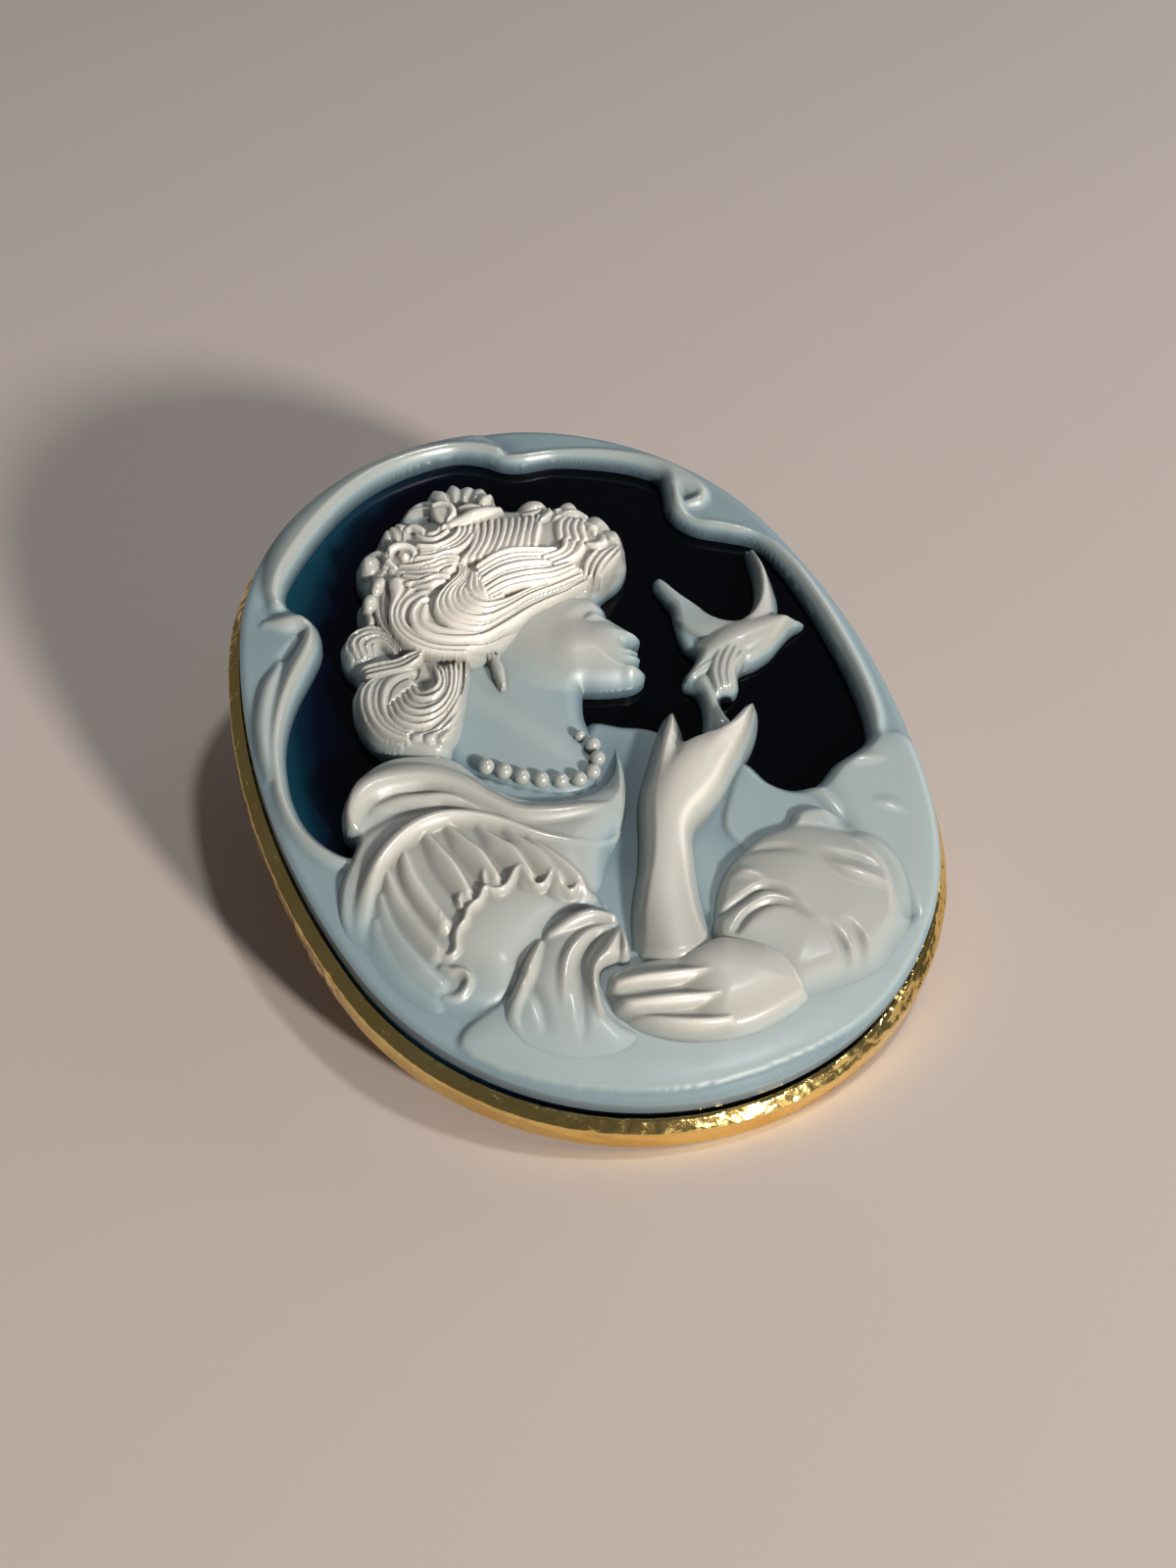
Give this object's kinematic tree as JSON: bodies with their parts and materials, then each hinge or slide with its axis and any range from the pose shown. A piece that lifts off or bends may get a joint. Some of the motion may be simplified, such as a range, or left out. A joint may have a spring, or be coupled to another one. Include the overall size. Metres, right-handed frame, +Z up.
{
  "type": "cameo pendant",
  "caption": "Oval two-layer agate cameo of a lady with a bird, in a plain gold setting with a hidden bail behind its top.",
  "frame": {"origin": "on the table, under the middle of the pendant's bounding box, as it rests on its bottom edge and its bail", "axes": "+Y along the oval's long side towards the lady's head, +X to the viewer's right, +Z up from the table; the plate leans back by about 14 degrees about X"},
  "size_m": [0.0314, 0.0402, 0.0123],
  "materials": {
    "gold": "polished",
    "dark_agate": "polished",
    "pale_agate": "satin"
  },
  "bodies": {
    "root": {"frame": "gold", "ground": "dark_agate", "relief": "pale_agate"}
  },
  "joints": []
}
